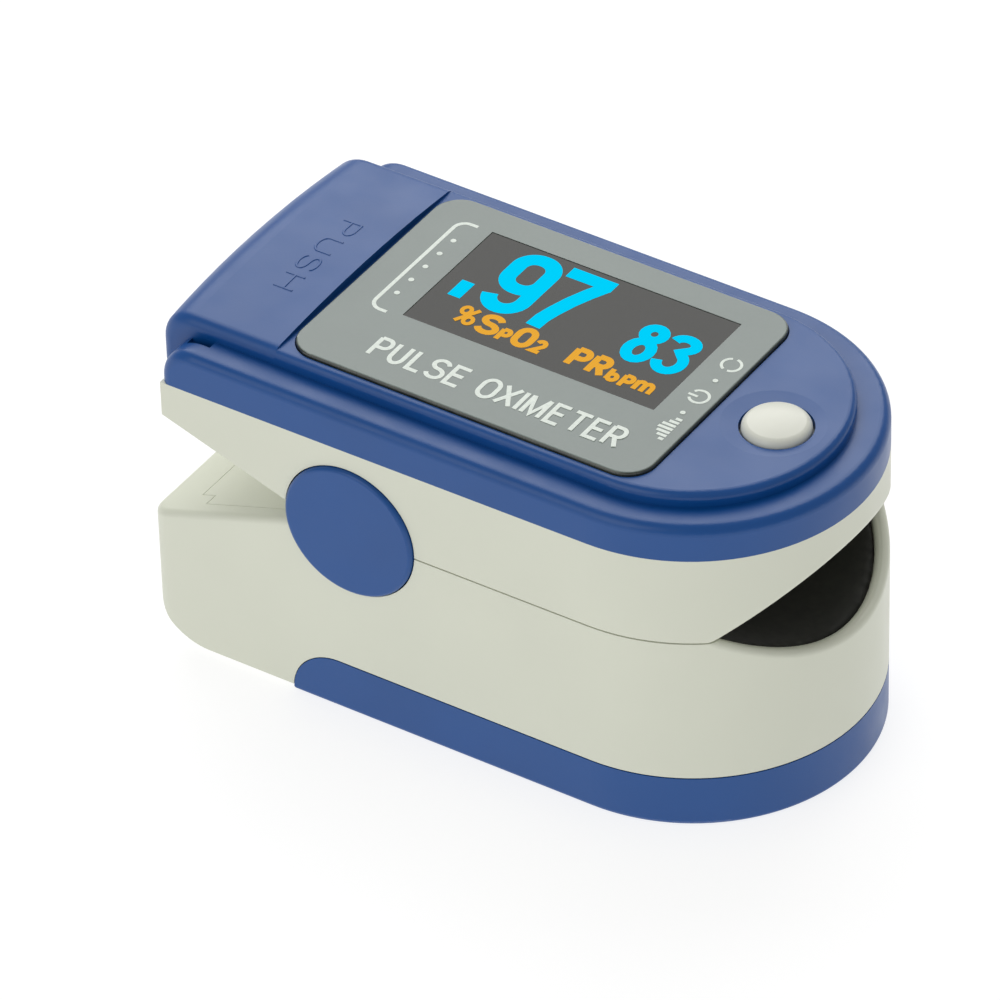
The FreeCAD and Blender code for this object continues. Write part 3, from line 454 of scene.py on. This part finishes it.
def loop(x, y, rx, ry):
    """A closed oval, as one stroke."""
    return (arc(x, y, rx, ry, 0, 345, 16), True)


GLYPHS = {
    "P": [LEFT_STEM, (BOWL, False)],
    "U": [([(0, 1), (0, 0.33)] + arc(0.5, 0.33, 0.5, 0.33, 180, 360) + [(1, 1)], False)],
    "L": [([(0, 1), (0, 0), (1, 0)], False)],
    "S": [(arc(0.5, 0.76, 0.47, 0.24, 15, 250) + arc(0.5, 0.26, 0.5, 0.26, 75, -165), False)],
    "E": [([(1, 1), (0, 1), (0, 0), (1, 0)], False), ([(0, 0.53), (0.9, 0.53)], False)],
    "O": [(OVAL, True)],
    "X": [([(0, 0), (1, 1)], False), ([(0, 1), (1, 0)], False)],
    "I": [([(0.5, 0), (0.5, 1)], False)],
    "M": [LEFT_STEM, RIGHT_STEM, ([(0, 1), (0.5, 0.05), (1, 1)], False)],
    "T": [([(0, 1), (1, 1)], False), ([(0.5, 1), (0.5, 0)], False)],
    "R": [LEFT_STEM, (BOWL, False), ([(0.5, 0.48), (1, 0)], False)],
    "H": [LEFT_STEM, RIGHT_STEM, ([(0, 0.52), (1, 0.52)], False)],
    "2": [(arc(0.5, 0.72, 0.48, 0.28, 165, -35) + [(0, 0), (1, 0)], False)],
    "b": [LEFT_STEM, loop(0.5, 0.3, 0.5, 0.3)],
    "m": [
        ([(0, 0), (0, 0.72)], False),
        ([(0, 0.45)] + arc(0.25, 0.45, 0.25, 0.25, 180, 0, 8) + [(0.5, 0)], False),
        ([(0.5, 0.45)] + arc(0.75, 0.45, 0.25, 0.25, 180, 0, 8) + [(1, 0)], False),
    ],
    "%": [loop(0.24, 0.76, 0.24, 0.22), loop(0.76, 0.24, 0.24, 0.22), ([(0.12, 0), (0.88, 1)], False)],
}


def letters(words, width):
    """Strokes for (glyph, left, right, bottom, top) boxes, measured over the ink."""
    strokes = []
    half = width / 2
    for glyph, left, right, bottom, top in words:
        x_size, y_size = right - left - width, top - bottom - width
        for points, closed in GLYPHS[glyph]:
            placed = [(left + half + px * x_size, bottom + half + py * y_size) for px, py in points]
            strokes.append((placed, width, closed))
    return strokes


# ---------------------------------------------------------------- display lens

lens_low, lens_high = node_box("display_lens")
LENS_FALL = 0.01         # the lens drops this much per mm towards the nose
LENS_CORNER = 2.5
LENS_BEVEL = 0.16
BEVEL_STEPS = ((1, 0), (0.55, 0.03), (0.18, 0.09), (0, 0.18))   # share of the bevel, and drop in mm
SCREEN_MARGINS = (5.81, 3.70, 8.18, 2.79)    # from the lens's rear, nose, -Y and +Y sides to its window
SCREEN_CORNER = 0.06
SCREEN_DEPTH = 0.05
SCREEN_THICK = 0.015
WINDOW_DEPTH = 0.07      # the bottom of the window, a little below the screen in it
MARK_SINK = 0.003        # the foot of a mark goes this far into its surface


def lens_top(x):
    """Height of the lens's face, which falls towards the nose."""
    return lens_high.z - LENS_FALL * (x - lens_low.x)


def lens_ring(inset, drop):
    ring = rounded(lens_low.x + inset, lens_high.x - inset, lens_low.y + inset, lens_high.y - inset,
                   LENS_CORNER - inset)
    return [(x, y, lens_top(x) - drop) for x, y in ring]


def screen_ring(drop):
    rear, nose, low_side, high_side = SCREEN_MARGINS
    ring = rounded(lens_low.x + rear, lens_high.x - nose, lens_low.y + low_side, lens_high.y - high_side,
                   SCREEN_CORNER)
    return [(x, y, lens_top(x) - drop) for x, y in ring]


def make_lens():
    """The lens as a rounded plate with a bevelled rim, and the screen in a window sunk in its print."""
    rings = [screen_ring(WINDOW_DEPTH), screen_ring(0)]
    rings += [lens_ring(LENS_BEVEL * share, drop) for share, drop in BEVEL_STEPS]
    rings.append([(x, y, lens_low.z) for x, y, _ in lens_ring(0, 0)])
    bm = bmesh.new()
    # The outer bevel and the side wall take the edge material with its painted shade.
    first_side_row = 3
    stitch(bm, rings, lambda row: 0 if row < first_side_row else 1)
    piece = finish_piece("lens_plate", bm, "upper_half", [lens_grey, lens_rim_shade])
    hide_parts("display_lens", "lens_mask")

    bm = bmesh.new()
    stitch(bm, [screen_ring(SCREEN_DEPTH), screen_ring(SCREEN_DEPTH + SCREEN_THICK)])
    finish_piece("screen_field", bm, "upper_half", [unlit_screen])


def lens_mark(name, strokes, material, depth=0.0):
    """A piece out of strokes drawn from the lens's corner at its rear and -Y side, on its face or deeper."""
    placed = [([(lens_low.x + x, lens_low.y + y) for x, y in points], width, closed)
              for points, width, closed in strokes]
    strokes_piece(name, placed, "upper_half", material, lambda x, y: lens_top(x) - depth - MARK_SINK)


def disc(x, y, radius):
    """A dot, as a ring of a stroke as wide as its radius."""
    return (arc(x, y, radius / 2, radius / 2, 0, 330, 11), radius, True)


def make_scale_mark():
    """A bracket along the rear of the screen with five dots inside it."""
    tip, bend, radius, low, high = 4.51, 3.86, 1.0, 7.85, 21.12
    bracket = ([(tip, high), (bend, high)] + arc(bend, high - radius, radius, radius, 90, 180, 8)
               + arc(bend, low + radius, radius, radius, 180, 270, 8) + [(tip, low)])
    dots = [disc(3.83, y, 0.24) for y in (18.55, 16.52, 14.47, 12.43, 10.38)]
    lens_mark("scale_mark", [(bracket, 0.33, False)] + dots, ink)


def make_icons():
    """Turn, power and signal icons down the nose side of the screen, with a dot between each two."""
    x, radius, line = 31.23, 0.8, 0.24
    turn_y, power_y = 16.27, 11.48
    turn = [(arc(x, turn_y, radius, radius, 85, -85, 16), line, False),
            (arc(x, turn_y, radius, radius, 113, 247, 14), line, False)]
    power = [(arc(x, power_y, radius, radius, 148, -148, 22), line, False),
             ([(x - 0.95, power_y - 0.04), (x - 0.1, power_y - 0.04)], line, False)]
    bar_foot, first_bar, bar_pitch = 31.74, 5.38, 0.46
    bars = []
    for i, size in enumerate((0.45, 0.85, 1.15, 1.3, 1.2, 0.85, 0.55)):
        y = first_bar + bar_pitch * i
        bars.append(([(bar_foot - size, y), (bar_foot, y)], 0.3, False))
    dots = [disc(x, y, 0.22) for y in (13.87, 9.07)]
    lens_mark("icon_marks", turn + power + bars + dots, ink)


def make_title():
    """The name of this kind of object, below the screen."""
    foot, top = 2.37, 5.07
    pulse = ((6.02, 7.56), (7.76, 9.26), (9.6, 11.02), (11.21, 12.92), (13.1, 14.66))
    oximeter = ((15.95, 17.68), (17.78, 19.46), (19.58, 20.08), (20.24, 22.13), (22.42, 23.91),
                (24.06, 25.88), (26.01, 27.51), (27.64, 29.16))
    title = [(glyph, left, right, foot, top)
             for glyph, (left, right) in zip("PULSEOXIMETER", pulse + oximeter)]
    lens_mark("title_print", letters(title, 0.38), ink)


def make_digits():
    """The pulse bar and the two numbers on the screen, in cyan."""
    foot, head = 12.42, 19.98
    nine_bowl = rounded(10.02, 13.02, 15.84, 20.05, 1.4)
    nine_tail = [(13.02, 17.9)] + arc(11.53, 14.6, 1.49, 1.58, 0, -170, 14)
    seven_leg = [(17.45, 20.35), (17.43, 19.55), (16.78, 18.2), (16.13, 16.6), (15.61, 14.9), (15.33, 13.7),
                 (15.25, foot)]
    eight_top = arc(24.0, 16.53, 0.78, 0.82, 0, 340, 17)
    eight_low = arc(24.0, 14.15, 0.92, 1.22, 0, 340, 17)
    three = (arc(26.78, 16.6, 0.95, 0.78, 172, -40, 14) + [(26.98, 15.58)]
             + arc(26.85, 14.15, 1.02, 1.22, 62, -168, 16))
    strokes = [
        (nine_bowl, 1.36, True), (nine_tail, 1.34, False),
        ([(13.93, head), (18.11, head)], 1.32, False), (seven_leg, 1.34, False),
        ([(7.83, 14.63), (7.83, foot)], 1.16, False),
        (eight_top, 0.94, True), (eight_low, 0.94, True), (three, 0.92, False),
    ]
    cyan = lit_segment("lit_cyan", (0.0, 0.655, 1.0, 1))
    lens_mark("readout_digits", strokes, cyan, SCREEN_DEPTH)


def make_units():
    """The units under the numbers, in orange: three sizes of letter, each with its own line width."""
    foot, cap = 9.44, 12.14
    capitals = [("S", 11.28, 13.38), ("O", 14.63, 16.51), ("P", 19.78, 21.53), ("R", 21.65, 23.38)]
    large = [(glyph, left, right, foot, cap) for glyph, left, right in capitals]
    medium = [
        ("P", 13.45, 14.55, 9.3, 11.1), ("2", 16.61, 17.73, 9.48, 11.3), ("b", 23.53, 24.68, 9.48, 11.25),
        ("P", 24.83, 25.98, 9.25, 11.1), ("m", 26.03, 27.78, 9.48, 11.5),
    ]
    percent = [("%", 9.23, 11.11, 9.65, 12.05)]
    strokes = letters(large, 0.58) + letters(medium, 0.42) + letters(percent, 0.34)
    orange = lit_segment("lit_orange", (0.85, 0.42, 0.045, 1))
    lens_mark("readout_units", strokes, orange, SCREEN_DEPTH)


# ---------------------------------------------------------------- moulded word on the squeeze block

BLOCK_CROWN = 130.0      # radius of the block's crowned top
WORD_FOOT = 6.8          # from the rear of the cover to the foot of the letters
WORD_START = 4.1         # y of the first letter
WORD_SINK = 0.02
WORD_HEIGHT = 0.07
WORD_TAPER = 0.5


def make_press_letters():
    """The word PUSH, raised a little from the block; it reads from the rear."""
    cover_low, cover_high = node_box("top_cover")
    foot, size = cover_low.x + WORD_FOOT, 2.0
    spans = (("P", 0, 2.0), ("U", 2.75, 4.9), ("S", 5.5, 7.5), ("H", 8.2, 10.3))
    word = [(glyph, left, right, 0, size) for glyph, left, right in spans]
    strokes = [([(foot + py, WORD_START - px) for px, py in points], width, closed)
               for points, width, closed in letters(word, 0.26)]

    def crowned(x, y):
        return cover_high.z - (BLOCK_CROWN - math.sqrt(BLOCK_CROWN ** 2 - y ** 2)) - WORD_SINK

    strokes_piece("press_letters", strokes, "upper_half", blue_plastic, crowned, WORD_HEIGHT,
                  WORD_TAPER)


# ---------------------------------------------------------------- silicone finger pads

PAD_VOXEL = 0.3
PAD_SMOOTHING = 6
PAD_WELD = 0.001         # corners of the solid's faces closer than this are joined
RIM_GAP = 0.95           # from the edge of the optical window to the crest of the rim round it
RIM_HEIGHT = 0.16
RIM_WIDTH = 0.4
FACING = 0.3             # the rim rises where the skin faces the finger by more than this cosine


def make_finger_pad(node, window, body, side):
    """A soft lining out of its solid: every edge rolled over, and a raised rim round the optical window.
    side is +1 where the finger lies above the pad, and -1 where it lies below."""
    window_low, window_high = node_box(window)
    window_x = (window_low.x + window_high.x) / 2
    crest = (window_high.x - window_low.x) / 2 + RIM_GAP
    solid = bmesh.new()
    solid.from_mesh(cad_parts[node].data)
    bmesh.ops.remove_doubles(solid, verts=solid.verts, dist=PAD_WELD * MM)
    rough = bpy.data.meshes.new(node + "_soft")
    solid.to_mesh(rough)
    solid.free()
    piece = bpy.data.objects.new(node + "_soft", rough)
    bpy.context.scene.collection.objects.link(piece)
    remesh = piece.modifiers.new("remesh", "REMESH")
    remesh.mode = "VOXEL"
    remesh.voxel_size = PAD_VOXEL * MM
    soften = piece.modifiers.new("soften", "SMOOTH")
    soften.factor = 0.5
    soften.iterations = PAD_SMOOTHING
    skin = bpy.data.meshes.new_from_object(piece.evaluated_get(bpy.context.evaluated_depsgraph_get()))
    piece.modifiers.clear()
    piece.data = skin
    bpy.data.meshes.remove(rough)
    for vertex in skin.vertices:
        x, y = vertex.co.x / MM - window_x, vertex.co.y / MM
        if vertex.normal.z * side > FACING:
            away = (abs(x) ** 4 + abs(y) ** 4) ** 0.25 - crest
            vertex.co.z += side * RIM_HEIGHT * MM * math.exp(-(away / RIM_WIDTH) ** 2)
    skin.materials.clear()
    skin.materials.append(rubber)
    skin.shade_smooth()
    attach(piece, body)
    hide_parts(node)


# ---------------------------------------------------------------- ribbon between the halves

FLEX_THICK = 0.2
FLEX_BEND = 0.9              # radius of the ribbon's bend
BEND_STEPS, RISE_STEPS = 9, 30


def make_jaw_ribbon():
    """The flat ribbon along its route, rearwards on the lower half and then up into the upper half,
    in short steps."""
    low, high = node_box("jaw_flex")
    half_width, half_thick = (high.y - low.y) / 2, FLEX_THICK / 2
    rear, floor = low.x + half_thick, low.z + half_thick
    bend = arc(rear + FLEX_BEND, floor + FLEX_BEND, FLEX_BEND, FLEX_BEND, 270, 180, BEND_STEPS)
    rise = high.z - floor - FLEX_BEND
    route = [(high.x, floor, 90)]
    route += [(x, z, 90 - 90 * step / BEND_STEPS) for step, (x, z) in enumerate(bend)]
    route += [(rear, floor + FLEX_BEND + rise * step / RISE_STEPS, 0) for step in range(1, RISE_STEPS + 1)]
    rings = []
    for x, z, lean in route:
        dx = half_thick * math.cos(math.radians(lean))
        dz = half_thick * math.sin(math.radians(lean))
        rings.append([(x + dx, half_width, z + dz), (x + dx, -half_width, z + dz),
                      (x - dx, -half_width, z - dz), (x - dx, half_width, z - dz)])
    bm = bmesh.new()
    stitch(bm, rings)
    piece = finish_piece("jaw_ribbon", bm, None, [film])
    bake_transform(piece)
    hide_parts("jaw_flex")


make_jaw_ribbon()
make_lens()
make_scale_mark()
make_icons()
make_title()
make_digits()
make_units()
make_press_letters()
make_finger_pad("lower_finger_pad", "detector_window", "lower_half", 1)
make_finger_pad("upper_finger_pad", "emitter_window", "upper_half", -1)


# ---------------------------------------------------------------- stage, light and camera, in metres

def direction(azimuth, elevation):
    """Unit vector towards a place round the object; azimuth 0 is -Y and 90 is +X."""
    a, e = math.radians(azimuth), math.radians(elevation)
    return Vector((math.sin(a) * math.cos(e), -math.cos(a) * math.cos(e), math.sin(e)))


def make_floor():
    """A wide floor just under the object."""
    bm = bmesh.new()
    bmesh.ops.create_grid(bm, x_segments=8, y_segments=8, size=2.5)
    mesh = bpy.data.meshes.new("floor")
    bm.to_mesh(mesh)
    bm.free()
    mesh.materials.append(pale_floor())
    floor = bpy.data.objects.new("floor", mesh)
    floor.location.z = cad_box[0].z - 0.02 * MM
    bpy.context.scene.collection.objects.link(floor)


def softbox(name, azimuth, elevation, distance, size, radiance):
    """A square area light aimed at the object's middle."""
    light = bpy.data.lights.new(name, "AREA")
    light.shape = "SQUARE"
    light.size = size
    light.energy = radiance * math.pi * size * size
    lamp = bpy.data.objects.new(name, light)
    away = direction(azimuth, elevation)
    lamp.location = cad_middle + away * distance
    lamp.rotation_mode = "QUATERNION"
    lamp.rotation_quaternion = away.to_track_quat("Z", "Y")
    lamp.visible_camera = False
    bpy.context.scene.collection.objects.link(lamp)


def make_lights():
    """A dim white world, one large light over the far side and a weaker one on the near side."""
    world = bpy.data.worlds.new("studio")
    world.use_nodes = True
    sky = world.node_tree.nodes["Background"]
    sky.inputs["Color"].default_value = (1.0, 1.0, 1.0, 1)
    sky.inputs["Strength"].default_value = 0.38
    bpy.context.scene.world = world
    softbox("overhead", azimuth=213.9, elevation=45, distance=0.9, size=0.9, radiance=2.3)
    softbox("left_fill", azimuth=-15, elevation=30, distance=1.0, size=0.7, radiance=1.3)
    bpy.context.scene.view_settings.view_transform = "Standard"


CAMERA_AZIMUTH, CAMERA_ELEVATION, CAMERA_ROLL = 33.859, 37.777, -1.582    # degrees
CAMERA_DISTANCE = 0.643618
CAMERA_LENS, CAMERA_SENSOR = 291.1, 36                                    # mm
CAMERA_TARGET = Vector((0.0003, 0, 0.016))
CAMERA_SLIDE = (-0.004352, -0.000674)                                     # across and up the picture


def make_camera():
    """A long lens that looks at the object, rolled a little and slid to frame it."""
    data = bpy.data.cameras.new("camera")
    data.lens = CAMERA_LENS
    data.sensor_width = CAMERA_SENSOR
    data.clip_start, data.clip_end = 0.01, 20
    camera = bpy.data.objects.new("camera", data)
    back = direction(CAMERA_AZIMUTH, CAMERA_ELEVATION)
    azimuth, roll = math.radians(CAMERA_AZIMUTH), math.radians(CAMERA_ROLL)
    level = Vector((math.cos(azimuth), math.sin(azimuth), 0))
    upright = back.cross(level)
    right = level * math.cos(roll) + upright * math.sin(roll)
    up = upright * math.cos(roll) - level * math.sin(roll)
    place = CAMERA_TARGET + back * CAMERA_DISTANCE + right * CAMERA_SLIDE[0] + up * CAMERA_SLIDE[1]
    axes = Matrix((right, up, back)).transposed()
    camera.matrix_world = Matrix.Translation(place) @ axes.to_4x4()
    bpy.context.scene.collection.objects.link(camera)
    bpy.context.scene.camera = camera


make_floor()
make_lights()
make_camera()
